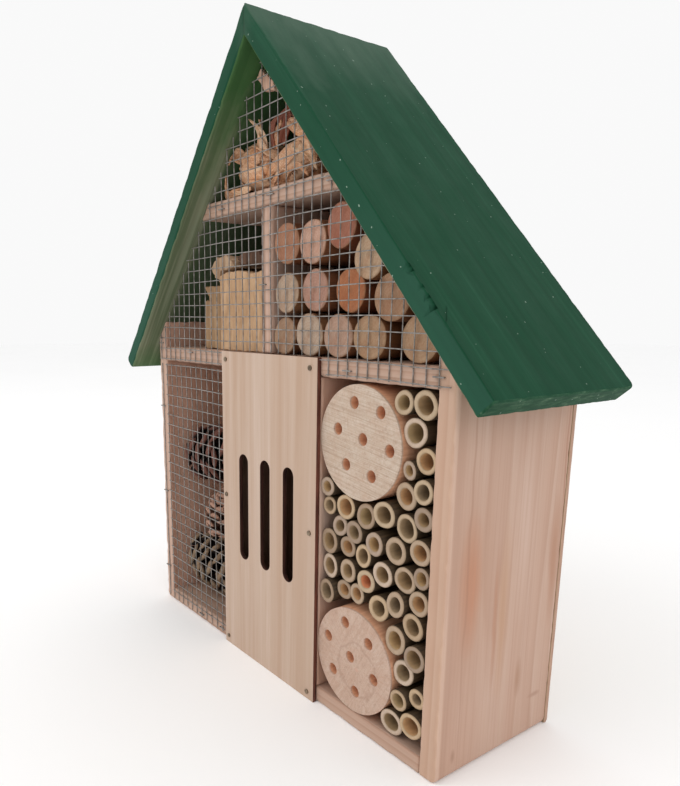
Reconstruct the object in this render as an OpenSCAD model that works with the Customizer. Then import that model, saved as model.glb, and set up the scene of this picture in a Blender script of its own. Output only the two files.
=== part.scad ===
// Insect hotel: a gabled timber box with two shelves, three dividers, a green pitched roof,
// a slotted plywood butterfly panel, wire mesh fronts and natural nesting material inside.
// Origin: middle of the underside of the box. +X to the right, +Y to the back, +Z up.

/* [Box] */
// Outside width of the box over both walls
box_w = 300; // [290:1:310]
// Depth of walls, floor, shelves and dividers
box_d = 95; // [92:1:100]
// Thickness of the walls and dividers
board_t = 11.5; // [10.5:0.5:12]
// Thickness of the floor board and the upper shelf
shelf_t = 10; // [9:0.5:10.5]
// Height of the lower shelf's underside
lower_shelf_z = 201.5; // [201.5:0.5:203]
// Thickness of the lower shelf
lower_shelf_t = 11; // [10:0.5:11]
// Height of the upper shelf's underside
upper_shelf_z = 299.5; // [298:0.5:300]
// Thickness of the plywood back
back_t = 3; // [2.5:0.5:4]

/* [Roof] */
// Height of the ridge above the ground
ridge_z = 404; // [404:1:408]
// Slope of each roof board from level
roof_pitch = 48.3; // [48.3:0.1:48.5]
// Thickness of the roof boards
roof_t = 11; // [10:0.5:11]
// Length of a roof board down the slope
roof_len = 272; // [265:1:280]
// How far the roof stands out in front of the box
roof_front = 15; // [10:1:20]

/* [Butterfly panel] */
// Width of the slotted panel
panel_w = 103; // [103:0.5:104]
// Height of the slotted panel
panel_h = 212.5; // [210:0.5:212.5]
// Thickness of the slotted panel
panel_t = 3; // [2.5:0.5:4]
// Left edge of the slotted panel
panel_left = -49; // [-49:0.5:-48.5]
// Width of a slot
slot_w = 10.8; // [9:0.2:11]
// Distance between neighbouring slots
slot_pitch = 25; // [22:1:26]
// Height of the slots' lower ends
slot_low = 71; // [60:1:80]
// Length of a slot over its round ends
slot_len = 74; // [60:1:80]

/* [Mesh] */
// Distance between wires
mesh_pitch = 7.9; // [7.9:0.1:8]
// Thickness of a wire
wire_d = 0.7; // [0.6:0.1:0.8]

/* [Filling] */
// Length of the round logs
log_len = 88; // [80:1:90]
// Length of the bamboo tubes
tube_len = 88; // [80:1:90]
// Depth of a bamboo tube's bore
tube_bore_depth = 70; // [50:1:78]
// Bore of a bamboo tube as a share of its outer diameter
tube_bore = 0.57; // [0.5:0.01:0.62]
// Diameter of the holes drilled in the two large logs
nest_hole_d = 7; // [6:0.5:8]
// Depth of those holes
nest_hole_depth = 60; // [40:1:75]

/* [Hidden] */
$fn = 48;

front = -box_d / 2;
rear = box_d / 2;
half_w = box_w / 2;
inner_x = half_w - board_t;
lower_shelf_top = lower_shelf_z + lower_shelf_t;
upper_shelf_top = upper_shelf_z + shelf_t;
slope = tan(roof_pitch);
roof_fall = roof_t / cos(roof_pitch);
left_div_x = panel_left;
right_div_x = panel_left + panel_w;
slot_mid = 2;

// Height of the roof boards' underside, and its half width at a height
function under_z(x) = ridge_z - roof_fall - abs(x) * slope;
function under_x(z) = (ridge_z - roof_fall - z) / slope;

// Carries an outline drawn in X and Z from one depth to another
module along_y(from, to) {
    translate([0, to, 0]) rotate([90, 0, 0]) linear_extrude(to - from) children();
}
// A round bar or hole along Y
module rod_y(x, z, r, from, to) {
    translate([x, to, z]) rotate([90, 0, 0]) cylinder(r = r, h = to - from);
}
module rod_x(y, z, r, from, to) {
    translate([from, y, z]) rotate([0, 90, 0]) cylinder(r = r, h = to - from);
}
module rod_z(x, y, r, from, to) {
    translate([x, y, from]) cylinder(r = r, h = to - from);
}
module board(x0, x1, z0, z1) {
    translate([x0, front, z0]) cube([x1 - x0, box_d, z1 - z0]);
}

// Fasteners: the holes are a little wider than the shanks that sit in them
shank_play = 0.05;
panel_nail_r = 0.7;
panel_nail_len = 18;
panel_nail_head_r = 1.5;
panel_nail_head_t = 0.7;
panel_nail_spots = [[-44, 207], [47.5, 206.5], [-45, 113], [48.5, 109], [-44.5, 5.5], [48, 5]];
back_nail_r = 0.7;
back_nail_len = 16;
back_nail_head_r = 2;
back_nail_head_t = 0.8;
wall_mid = half_w - board_t / 2;
back_nail_spots = concat(
    [for (s = [-1, 1], z = [25, 105, 185]) [s * wall_mid, z]],
    [for (x = [-70, 70]) [x, shelf_t / 2]],
    [for (x = [-75, 0, 75]) [x, lower_shelf_z + lower_shelf_t / 2]],
    [for (x = [-45, 45]) [x, upper_shelf_z + shelf_t / 2]],
    [for (s = [-1, 1], x = [35, 95]) [s * x, under_z(x) + roof_fall / 2]]);
roof_brad_r = 0.8;
roof_brad_len = 32;
roof_brad_y = [-30, 30];
ridge_brad_len = 13;
ridge_brad_y = [-50, 0, 40];
ridge_brad_z = ridge_z - 9;
staple_r = 0.35;
staple_crown = 6;
staple_depth = 7;
// The wires run just in front of the boards, the level ones in front of the upright ones
wire_r = wire_d / 2;
upright_y = front - wire_r - 0.05;
level_y = upright_y - wire_d - 0.05;
crown_y = upright_y - wire_r - staple_r - 0.02;
mesh_phase_x = 5.2;
mesh_bottom_z = lower_shelf_z + 2;
function wire_x(i) = mesh_phase_x + mesh_pitch * i;
function upper_wire_z(j) = mesh_bottom_z + mesh_pitch * j;
function lower_wire_z(j) = mesh_bottom_z - mesh_pitch * (j + 0.6);
// Staples as [upright wire number, height]: each straddles that wire
staple_spots = [
    [0, upper_shelf_z + 5.5], [-7, upper_shelf_z + 4], [7, upper_shelf_z + 5],
    [-1, 254], [17, lower_shelf_z + 6], [9, lower_shelf_z + 5], [-13, lower_shelf_z + 8],
    [-19, 215], [-19, 165], [-19, 94.5], [-19, 29], [-12, 4.8], [-8, 5.2]];

module panel_nail_holes() {
    for (p = panel_nail_spots)
        rod_y(p[0], p[1], panel_nail_r + shank_play, front - panel_t - 1,
              front - panel_t + panel_nail_len + 0.5);
}
module back_nail_holes() {
    for (p = back_nail_spots)
        rod_y(p[0], p[1], back_nail_r + shank_play, rear + back_t - back_nail_len - 0.5,
              rear + back_t + 1);
}
module staple_holes() {
    for (s = staple_spots, side = [-1, 1])
        rod_y(wire_x(s[0]) + side * staple_crown / 2, s[1], staple_r + shank_play,
              front - 1, front + staple_depth + 0.5);
}
// The brads are set below the surface, filled and painted over
brad_set = 2.5;
roof_brad_top = ridge_z - slope * wall_mid - brad_set;
module roof_brad_shape(r, below, above) {
    for (side = [-1, 1], y = roof_brad_y)
        rod_z(side * wall_mid, y, r, roof_brad_top - roof_brad_len - below, roof_brad_top + above);
}
module roof_brad_holes() {
    roof_brad_shape(roof_brad_r + shank_play, 0.5, 0.1);
}
module ridge_brad_shape(r, right, left) {
    for (y = ridge_brad_y)
        rod_x(y, ridge_brad_z, r, -ridge_brad_len / 2 - left, ridge_brad_len / 2 + right);
}

module wall(side) {
    color("burlywood") difference() {
        along_y(front, rear)
            polygon([[side * half_w, 0], [side * inner_x, 0],
                     [side * inner_x, under_z(inner_x)], [side * half_w, under_z(half_w)]]);
        back_nail_holes();
        staple_holes();
        roof_brad_holes();
    }
}
module left_wall() { wall(-1); }
module right_wall() { wall(1); }

module floor_board() {
    color("burlywood") difference() {
        board(-inner_x, inner_x, 0, shelf_t);
        panel_nail_holes();
        back_nail_holes();
        staple_holes();
    }
}
module lower_shelf() {
    color("burlywood") difference() {
        board(-inner_x, inner_x, lower_shelf_z, lower_shelf_top);
        panel_nail_holes();
        back_nail_holes();
        staple_holes();
    }
}
// The upper shelf's ends are bevelled to meet the roof boards
module upper_shelf() {
    low = under_x(upper_shelf_z);
    high = under_x(upper_shelf_top);
    color("burlywood") difference() {
        along_y(front, rear)
            polygon([[-low, upper_shelf_z], [low, upper_shelf_z],
                     [high, upper_shelf_top], [-high, upper_shelf_top]]);
        back_nail_holes();
        staple_holes();
    }
}
module left_divider() {
    color("tan") difference() {
        board(left_div_x, left_div_x + board_t, shelf_t, lower_shelf_z);
        panel_nail_holes();
    }
}
module right_divider() {
    color("tan") difference() {
        board(right_div_x - board_t, right_div_x, shelf_t, lower_shelf_z);
        panel_nail_holes();
    }
}
module upper_divider() {
    color("tan") difference() {
        board(-board_t / 2, board_t / 2, lower_shelf_top, upper_shelf_z);
        staple_holes();
    }
}

// The roof boards meet in a mitre under the ridge and have square-cut eaves
module roof_board(side) {
    eave_x = roof_len * cos(roof_pitch);
    eave_z = ridge_z - roof_len * sin(roof_pitch);
    color("seagreen") difference() {
        along_y(front - roof_front, rear)
            polygon([[0, ridge_z], [side * eave_x, eave_z],
                     [side * (eave_x - roof_t * sin(roof_pitch)), eave_z - roof_t * cos(roof_pitch)],
                     [0, ridge_z - roof_fall]]);
        roof_brad_holes();
        ridge_brad_shape(roof_brad_r + shank_play, 0.1, 0.1);
        back_nail_holes();
    }
}
module left_roof_board() { roof_board(-1); }
module right_roof_board() { roof_board(1); }

// Plywood back, nailed over the rear edges of walls, shelves and roof boards
back_margin = 4;
hanger_z = 352;
hanger_window_r = 9;
module back_panel() {
    peak = ridge_z - back_margin;
    color("wheat") difference() {
        along_y(rear, rear + back_t)
            polygon([[-half_w, 0], [half_w, 0], [half_w, peak - half_w * slope], [0, peak],
                     [-half_w, peak - half_w * slope]]);
        back_nail_holes();
        rod_y(0, hanger_z + 4, hanger_window_r, rear - 1, rear + back_t + 1);
        hanger_screw_shanks(shank_play);
    }
}

// Steel keyhole plate for hanging the box on a screw
keyhole_r = 4.5;
keyhole_neck_r = 2.2;
keyhole_rise = 9;
hanger_w = 38;
hanger_h = 34;
hanger_t = 1.2;
hanger_screw_r = 1.4;
hanger_screw_head_r = 2.6;
hanger_screw_head_t = 1.4;
hanger_screw_spots = [for (x = [-14.5, 14.5], z = [-11, 15]) [x, hanger_z + z]];
module hanger_screw_shanks(play) {
    for (p = hanger_screw_spots)
        rod_y(p[0], p[1], hanger_screw_r + play, rear - 2 - play, rear + back_t + hanger_t + play);
}
module hanger_plate() {
    back = rear + back_t;
    color("silver") difference() {
        translate([-hanger_w / 2, back, hanger_z - hanger_h / 2 + 2]) cube([hanger_w, hanger_t, hanger_h]);
        rod_y(0, hanger_z, keyhole_r, back - 1, back + hanger_t + 1);
        rod_y(0, hanger_z + keyhole_rise, keyhole_neck_r, back - 1, back + hanger_t + 1);
        translate([-keyhole_neck_r, back - 1, hanger_z])
            cube([2 * keyhole_neck_r, hanger_t + 2, keyhole_rise]);
        hanger_screw_shanks(shank_play);
    }
}
module hanger_screws() {
    head_y = rear + back_t + hanger_t;
    color("silver") {
        hanger_screw_shanks(0);
        for (p = hanger_screw_spots)
            rod_y(p[0], p[1], hanger_screw_head_r, head_y, head_y + hanger_screw_head_t);
    }
}

// Front plywood with three round-ended butterfly slots
module butterfly_panel() {
    color("blanchedalmond") difference() {
        translate([panel_left, front - panel_t, 0]) cube([panel_w, panel_t, panel_h]);
        for (i = [-1:1])
            along_y(front - panel_t - 1, front + 1)
                translate([slot_mid + i * slot_pitch, slot_low]) slot_outline();
        panel_nail_holes();
    }
}
module slot_outline() {
    r = slot_w / 2;
    translate([0, r]) circle(r = r);
    translate([0, slot_len - r]) circle(r = r);
    translate([-r, r]) square([slot_w, slot_len - slot_w]);
}

// Welded wire mesh. The cut ends along the roof are uneven, up to end_play short.
end_gap = 2.5;
end_play = 3;
function uneven(i) = end_gap + end_play * (0.5 + 0.5 * sin(i * 137));
mesh_half = 147;
module upper_mesh() {
    first = ceil((-mesh_half - mesh_phase_x) / mesh_pitch);
    last = floor((mesh_half - mesh_phase_x) / mesh_pitch);
    color("gainsboro") {
        for (i = [first:last])
            let (x = wire_x(i), over_panel = x > panel_left - 2 && x < right_div_x + 2,
                 low = over_panel ? panel_h + 0.7 : mesh_bottom_z - 1,
                 high = under_z(abs(x) + wire_r) - uneven(i))
                if (high - low > 3) rod_z(x, upright_y, wire_r, low, high);
        for (j = [1:23])
            let (z = upper_wire_z(j), half = min(mesh_half, under_x(z + wire_r) - uneven(j + 40) * 0.6))
                if (half > 4) rod_x(level_y, z, wire_r, -half, half);
        rod_x(level_y, mesh_bottom_z, wire_r, -mesh_half, panel_left - 1);
        rod_x(level_y, mesh_bottom_z, wire_r, right_div_x + 1, mesh_half);
    }
}
module lower_mesh() {
    first = ceil((-mesh_half - mesh_phase_x) / mesh_pitch);
    last = floor((panel_left - 1 - mesh_phase_x) / mesh_pitch);
    top = mesh_bottom_z - mesh_pitch * 0.6 + 1;
    color("gainsboro") {
        for (i = [first:last])
            rod_z(wire_x(i) + 0.4, upright_y, wire_r, 2.5, top);
        for (j = [0:24])
            rod_x(level_y, lower_wire_z(j), wire_r, end_gap - mesh_half, panel_left - 1);
    }
}

module mesh_staples() {
    wire = 2 * staple_r;
    color("silver") for (s = staple_spots) {
        x = wire_x(s[0]);
        translate([x - staple_crown / 2 - staple_r, crown_y - staple_r, s[1] - staple_r])
            cube([staple_crown + wire, wire, wire]);
        for (side = [-1, 1])
            rod_y(x + side * staple_crown / 2, s[1], staple_r - 0.05, crown_y, front + staple_depth);
    }
}
module panel_nails() {
    face = front - panel_t;
    color("gray") for (p = panel_nail_spots) {
        rod_y(p[0], p[1], panel_nail_r, face, face + panel_nail_len);
        rod_y(p[0], p[1], panel_nail_head_r, face - panel_nail_head_t, face);
    }
}
module back_nails() {
    face = rear + back_t;
    color("gray") for (p = back_nail_spots) {
        rod_y(p[0], p[1], back_nail_r, face - back_nail_len, face);
        rod_y(p[0], p[1], back_nail_head_r, face, face + back_nail_head_t);
    }
}
module roof_brads() { color("gray") roof_brad_shape(roof_brad_r, 0, 0); }
module ridge_brads() { color("gray") ridge_brad_shape(roof_brad_r, 0, 0); }

// Two large logs with nesting holes: six round a centre hole, off the log's own middle
nest_circle_r = 20.3;
module drilled_log(z, r, turn, shift) {
    x = right_div_x + r;
    ring = [for (i = [0:5]) nest_circle_r * [cos(60 * i + turn), sin(60 * i + turn)]];
    color("wheat") difference() {
        rod_y(x, z, r, front + 0.5, front + 0.5 + log_len);
        for (h = concat([[0, 0]], ring))
            rod_y(x + shift[0] + h[0], z + shift[1] + h[1], nest_hole_d / 2, front - 1,
                  front + 0.5 + nest_hole_depth);
    }
}
module upper_drilled_log() { drilled_log(168.5, 31.5, -9, [3, 2.5]); }
module lower_drilled_log() { drilled_log(shelf_t + 31.2, 31, -16, [-2, 1.5]); }

// Round logs in the upper right bay as [x, z, radius, how far the front end stands back]
logs = [
    [17.5, 223.6, 11, 1], [41.5, 224.7, 12.1, 0.5], [66, 224.5, 11.9, 1], [91, 224.4, 11.8, 0.5],
    [125, 224.3, 11.7, 1], [20, 248.5, 11.8, 0.5], [45.8, 249.2, 11.7, 1], [74, 248.2, 11.8, 2],
    [105.5, 244, 12, 1], [19, 276.4, 11.9, 1], [43.7, 275.2, 12.1, 0.5], [66.3, 281.5, 12, 1.5],
    [89.3, 264.6, 11.5, 0.5]];
log_colors = ["tan", "wheat", "bisque", "palegoldenrod", "tan", "wheat", "rosybrown",
              "sandybrown", "burlywood", "peru", "bisque", "indianred", "khaki"];
module log(i) {
    l = logs[i - 1];
    color(log_colors[i - 1]) rod_y(l[0], l[1], l[2], front + l[3], front + l[3] + log_len);
}

// Bamboo tubes in the lower right bay, row by row from the top, as [x, z, radius]
tube_rows = [
    [[116, 193.3, 6.4], [131, 193.5, 7.4], [123.5, 179, 7.7]],
    [[131.5, 166, 6.8], [121.5, 160, 4.8], [132, 151, 6.4], [119.3, 146, 7.1]],
    [[60, 139.5, 5.8], [60, 128, 5.4], [75, 130.5, 7.2]],
    [[91.5, 129, 7.1], [106, 133.5, 7.4], [120.5, 129.5, 7.5], [132.2, 137, 6.2]],
    [[69.5, 118, 6], [61.5, 107, 7.3], [83.5, 118, 6.4], [76.5, 107.3, 6.2]],
    [[99.5, 115.5, 6.6], [113.5, 115.3, 7.2], [131, 119.5, 6.8]],
    [[90.3, 106, 6.4], [106.5, 100.5, 7.1], [120.8, 101.5, 7], [132.7, 106.3, 5.6]],
    [[61.4, 91.5, 7.2], [78, 93.5, 6.5], [94, 92.5, 6.6]],
    [[61, 76, 6.9], [74.5, 80.8, 5.9], [86.2, 82.5, 5.8]],
    [[103.5, 80, 7.4], [116.5, 87, 6.8], [130.8, 92, 6.6]],
    [[127.5, 78, 7.2], [116.5, 66.5, 7.8], [131, 62, 7.2], [122.4, 50, 7.1]],
    [[121.5, 34, 6], [132.7, 39.5, 5.6], [116.2, 18, 7.7], [131, 23.5, 7.1]]];
module tube(x, z, r, back) {
    color("palegoldenrod") difference() {
        rod_y(x, z, r, front + back, front + back + tube_len);
        rod_y(x, z, r * tube_bore, front - 1, front + back + tube_bore_depth);
    }
}
module tube_row(i) {
    for (k = [0:len(tube_rows[i - 1]) - 1])
        let (t = tube_rows[i - 1][k]) tube(t[0], t[1], t[2], 0.5 + (i + 2 * k) % 3);
}

// Pine cones: whorls of scales round an axis that lies across the left bay
module cone_shape(length, r, whorls) {
    step = length / whorls;
    function girth(i) = r * (0.45 + 0.55 * sin(180 * min(1, (i + 1.2) / (whorls + 1))));
    rotate_extrude($fn = 40)
        polygon(concat([[0, 0]],
            [for (i = [0:whorls - 1], side = [0, 1])
                [side == 0 ? girth(i) : girth(i) * 0.72, i * step + (side == 0 ? 0.25 : 0.95) * step]],
            [[0, length]]));
}
module upper_cone() {
    color("saddlebrown") translate([-136, -19.5, 126.5]) rotate([0, 84, 0]) cone_shape(74, 27, 7);
}
module middle_cone() {
    color("peru") translate([-88, -26, 64.5]) rotate([0, 6, 0]) cone_shape(38, 19, 5);
}
module lower_cone() {
    color("saddlebrown") translate([-134, -20, 41.5]) rotate([0, 98, 0]) cone_shape(68, 26.5, 6);
}

// Sawn wood and bark in the upper left bay
module stacked_piece(from, to, outline) {
    along_y(front + from, front + to) polygon(outline);
}
module wood_block() {
    z0 = lower_shelf_top;
    color("wheat") stacked_piece(3, 88,
        [[-60, z0], [-8, z0], [-8, 263.5], [-20, 262], [-36, 264.5], [-52, 264], [-60, 262]]);
}
module split_block() {
    z0 = lower_shelf_top;
    color("wheat") stacked_piece(5, 84,
        [[-86, z0], [-61, z0], [-61, 256], [-85, 256], [-78, 247], [-85, 246]]);
}
module bark_slab() {
    color("tan") stacked_piece(4, 70,
        [[-61, 264.6], [-50, 266.2], [-42, 266.8], [-46, 272], [-54, 276], [-66, 275], [-74, 268], [-68, 261],
         [-61.5, 258]]);
}
module bark_strip() {
    color("saddlebrown") stacked_piece(6, 80,
        [[-41, 267.5], [-26, 267], [-10, 266.5], [-9, 272], [-20, 276.5], [-34, 277], [-42, 273.5]]);
}

// Dry husk that fills the roof space, as lumps round hand-chosen middles
module lump(x, y, z, r) { translate([x, front + y, z]) sphere(r = r, $fn = 14); }
module husk_left() {
    color("burlywood") hull() {
        lump(-42, 22, 320, 9); lump(-20, 14, 322, 11); lump(-22, 26, 336, 11);
        lump(-40, 66, 318, 7); lump(-14, 60, 330, 10);
    }
}
module husk_right() {
    color("burlywood") hull() {
        lump(6, 13, 321, 10); lump(38, 18, 318, 7); lump(8, 22, 337, 10);
        lump(40, 62, 317, 6); lump(10, 58, 328, 9);
    }
}
module bark_shreds() {
    color("brown") for (i = [0:2])
        translate([2 + 5 * i, front + 8 + 7 * i, 349 - i]) rotate([0, -24 + 17 * i, 0])
            cube([2.2, 16, 15 - 3 * i]);
}
// A splinter caught between the roof boards and the top of the mesh
module wood_chip() {
    color("bisque") along_y(front + 1.6, front + 5)
        polygon([[-12, 371.8], [-8.4, 376.4], [5, 366], [6, 360.8], [-4, 362.8]]);
}

left_wall();
right_wall();
floor_board();
lower_shelf();
upper_shelf();
left_divider();
right_divider();
upper_divider();
left_roof_board();
right_roof_board();
back_panel();
butterfly_panel();
upper_mesh();
lower_mesh();
mesh_staples();
panel_nails();
roof_brads();
ridge_brads();
back_nails();
hanger_plate();
hanger_screws();
upper_drilled_log();
lower_drilled_log();
upper_cone();
middle_cone();
lower_cone();
wood_block();
split_block();
bark_slab();
bark_strip();
husk_left();
husk_right();
bark_shreds();
wood_chip();
for (i = [1:13]) log(i);
for (i = [1:12]) tube_row(i);
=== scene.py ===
"""The insect hotel's looks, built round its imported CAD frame. Metres, +X right, +Y back, +Z up."""
import math
import random

import bmesh
import bpy
from mathutils import Matrix, Vector, noise
from mathutils.geometry import intersect_point_line


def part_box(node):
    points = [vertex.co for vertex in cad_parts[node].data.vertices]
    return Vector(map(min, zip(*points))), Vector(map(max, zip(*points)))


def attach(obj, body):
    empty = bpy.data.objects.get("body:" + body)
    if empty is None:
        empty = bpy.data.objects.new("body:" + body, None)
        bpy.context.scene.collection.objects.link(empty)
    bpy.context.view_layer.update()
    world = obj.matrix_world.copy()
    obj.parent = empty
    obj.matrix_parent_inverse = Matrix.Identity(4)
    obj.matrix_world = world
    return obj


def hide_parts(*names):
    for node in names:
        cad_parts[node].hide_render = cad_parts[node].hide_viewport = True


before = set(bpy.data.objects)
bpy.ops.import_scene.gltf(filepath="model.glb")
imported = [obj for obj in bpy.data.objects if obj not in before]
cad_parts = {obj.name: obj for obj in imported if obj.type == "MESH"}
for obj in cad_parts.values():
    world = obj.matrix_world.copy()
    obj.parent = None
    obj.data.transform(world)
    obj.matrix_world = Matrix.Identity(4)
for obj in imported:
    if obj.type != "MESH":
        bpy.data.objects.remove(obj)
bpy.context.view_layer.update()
MM = 0.001
TINY = 1e-6


# -------- places taken from the frame

def node_points(node):
    return [v.co.copy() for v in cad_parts[node].data.vertices]


def welded(node):
    """A CAD node's mesh with its split corners joined."""
    bm = bmesh.new()
    bm.from_mesh(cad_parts[node].data)
    bmesh.ops.remove_doubles(bm, verts=bm.verts, dist=TINY)
    return bm


def solids(node):
    """(low, high) corners of each separate solid in a CAD node, in the order of the mesh."""
    bm = welded(node)
    seen, found = set(), []
    for start in bm.verts:
        if start in seen:
            continue
        stack, group = [start], []
        seen.add(start)
        while stack:
            vert = stack.pop()
            group.append(vert.co.copy())
            onward = {edge.other_vert(vert) for edge in vert.link_edges} - seen
            seen |= onward
            stack += onward
        found.append([Vector([pick(p[i] for p in group) for i in range(3)]) for pick in (min, max)])
    bm.free()
    return found


def front_loops(node):
    """Outlines, as X and Z, of a CAD node's front face: its edge, then openings wider than a nail."""
    bm = welded(node)
    front = min(v.co.y for v in bm.verts)
    in_front = {f for f in bm.faces if all(abs(v.co.y - front) < TINY for v in f.verts)}
    border = [e for e in bm.edges if sum(f in in_front for f in e.link_faces) == 1]
    neighbours = {}
    for edge in border:
        for vert in edge.verts:
            neighbours.setdefault(vert, []).append(edge.other_vert(vert))
    loops = []
    while neighbours:
        start = next(iter(neighbours))
        loop, before, here = [start], None, start
        while True:
            onward = [v for v in neighbours[here] if v is not before]
            before, here = here, onward[0]
            if here is start:
                break
            loop.append(here)
        for vert in loop:
            del neighbours[vert]
        points = [Vector((v.co.x, v.co.z)) for v in loop]
        kept = []
        for i, point in enumerate(points):
            arriving, leaving = point - points[i - 1], points[(i + 1) % len(points)] - point
            if abs(arriving.normalized().cross(leaving.normalized())) > 0.01:
                kept.append(point)
        if max((p - kept[0]).length for p in kept) > 5 * MM:
            loops.append(kept)
    bm.free()
    return sorted(loops, key=lambda loop: -max((p - loop[0]).length for p in loop))


RIDGE = max(node_points("right_roof_board"), key=lambda p: p.z)
EAVE = max(node_points("right_roof_board"), key=lambda p: p.x)
PITCH = math.atan2(RIDGE.z - EAVE.z, EAVE.x - RIDGE.x)
UNDER_RIDGE_Z = min(p.z for p in node_points("right_roof_board") if p.x < 1e-4)
ROOF_LEN = math.hypot(EAVE.x - RIDGE.x, RIDGE.z - EAVE.z)
ROOF_T = (RIDGE.z - UNDER_RIDGE_Z) * math.cos(PITCH)
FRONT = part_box("right_wall")[0].y
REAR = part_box("right_wall")[1].y
ROOF_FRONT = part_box("right_roof_board")[0].y
ATTIC_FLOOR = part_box("upper_shelf")[1].z


def roof_under_z(x):
    return UNDER_RIDGE_Z - abs(x) * math.tan(PITCH)


# -------- materials

def linear(code):
    """A display colour, written as #rrggbb, as linear RGBA."""
    def channel(value):
        value /= 255
        return value / 12.92 if value <= 0.04045 else ((value + 0.055) / 1.055) ** 2.4
    return (*[channel(int(code[i:i + 2], 16)) for i in (1, 3, 5)], 1.0)


class Look:
    """A node material under construction; base is its colour so far."""

    def __init__(self, name, specular=0.3, **fixed):
        self.material = bpy.data.materials.new(name)
        self.material.use_nodes = True
        self.tree = self.material.node_tree
        self.bsdf = self.tree.nodes["Principled BSDF"]
        self.base = None
        for key, value in {"Specular IOR Level": specular, **fixed}.items():
            self.bsdf.inputs[key].default_value = value

    def feed(self, socket, value):
        if isinstance(value, bpy.types.NodeSocket):
            self.tree.links.new(value, socket)
        else:
            socket.default_value = linear(value) if isinstance(value, str) else value

    def add(self, kind, *inputs, named=(), **settings):
        """A new node with its settings; its inputs are fed in order and by name."""
        node = self.tree.nodes.new("ShaderNode" + kind)
        for key, value in settings.items():
            setattr(node, key, value)
        for key, value in (*enumerate(inputs), *dict(named).items()):
            self.feed(node.inputs[key], value)
        return node

    def math(self, operation, *values):
        return self.add("Math", *values, operation=operation).outputs[0]

    def times(self, a, b):
        return self.math("MULTIPLY", a, b)

    def minus(self, a, b):
        return self.math("SUBTRACT", a, b)

    def vector(self, operation, *values):
        """Vector arithmetic, where a dot product or a length comes out as a number."""
        output = "Value" if operation in ("DOT_PRODUCT", "LENGTH") else "Vector"
        return self.add("VectorMath", *values, operation=operation).outputs[output]

    def xyz(self, *parts):
        return self.add("CombineXYZ", *parts).outputs[0]

    def coords(self):
        return self.add("TexCoord").outputs["Object"]

    def part(self, axis, vector=None):
        """One component of a vector, or of the object's own coordinates."""
        return self.add("SeparateXYZ", self.coords() if vector is None else vector).outputs[axis]

    def facing(self, axis):
        """How far the surface faces along an axis, from -1 to 1."""
        return self.part(axis, self.add("TexCoord").outputs["Normal"])

    def axes(self, vector, *directions):
        """The vector measured along three directions, as a new vector."""
        return self.xyz(*[self.vector("DOT_PRODUCT", vector, d) for d in directions])

    def place(self, vector, scale=(1, 1, 1), shift=(0, 0, 0)):
        return self.add("Mapping", named={"Vector": vector, "Scale": scale, "Location": shift}).outputs[0]

    def grain(self, scale, detail=3, rough=0.6, vector=None, shift=(0, 0, 0), warp=0.0):
        """Noise in a vector or the object's own coordinates; scale is one number, or one for each axis."""
        vector = self.coords() if vector is None else vector
        if isinstance(scale, tuple):
            vector, scale = self.place(vector, scale, shift), 1.0
        return self.add("TexNoise", named={"Vector": vector, "Scale": scale, "Detail": detail,
                                           "Roughness": rough, "Distortion": warp}).outputs["Fac"]

    def ramp(self, value, *stops):
        """Turns a value of 0 to 1 into the numbers or colours of the stops."""
        node = self.add("ValToRGB", value)
        marks = node.color_ramp.elements
        while len(marks) < len(stops):
            marks.new(0.5)
        for mark, (place, shade) in zip(marks, stops):
            mark.position = place
            mark.color = linear(shade) if isinstance(shade, str) else (shade, shade, shade, 1)
        return node.outputs["Color"]

    def mix(self, share, a, b, blend="MIX"):
        node = self.add("Mix", share, data_type="RGBA", blend_type=blend)
        self.feed(node.inputs[6], a)
        self.feed(node.inputs[7], b)
        return node.outputs[2]

    def tinted(self, colour, tint):
        return self.mix(1.0, colour, tint, "MULTIPLY")

    def attribute(self, name, kind="Fac"):
        return self.add("Attribute", attribute_name=name).outputs[kind]

    def bump(self, *layers):
        """Layers of (height, strength, depth in metres), from the broadest to the finest."""
        normal = None
        for height, strength, depth in layers:
            inputs = {"Height": height, "Strength": strength, "Distance": depth}
            if normal is not None:
                inputs["Normal"] = normal
            normal = self.add("Bump", named=inputs).outputs[0]
        self.feed(self.bsdf.inputs["Normal"], normal)

    def colour(self, value):
        self.base = value
        self.feed(self.bsdf.inputs["Base Color"], value)

    def cover(self, share, colour):
        """Covers that share of the base with a colour."""
        self.colour(self.mix(share, self.base, colour))

    def lay(self, colour, value, *stops):
        """Covers the base with a colour as far as a ramp of the value says."""
        self.cover(self.ramp(value, *stops), colour)

    def rough(self, value, *stops):
        self.feed(self.bsdf.inputs["Roughness"], self.ramp(value, *stops))

    def shade(self, axis, turn, tint):
        """Multiplies the colour of the side that faces along the axis (turn 1) or against it (turn -1)."""
        self.lay(self.tinted(self.base, tint), self.times(self.facing(axis), turn), (0.6, 0), (0.9, 1))
        return self


X, Y, Z = (1, 0, 0), (0, 1, 0), (0, 0, 1)


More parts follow.
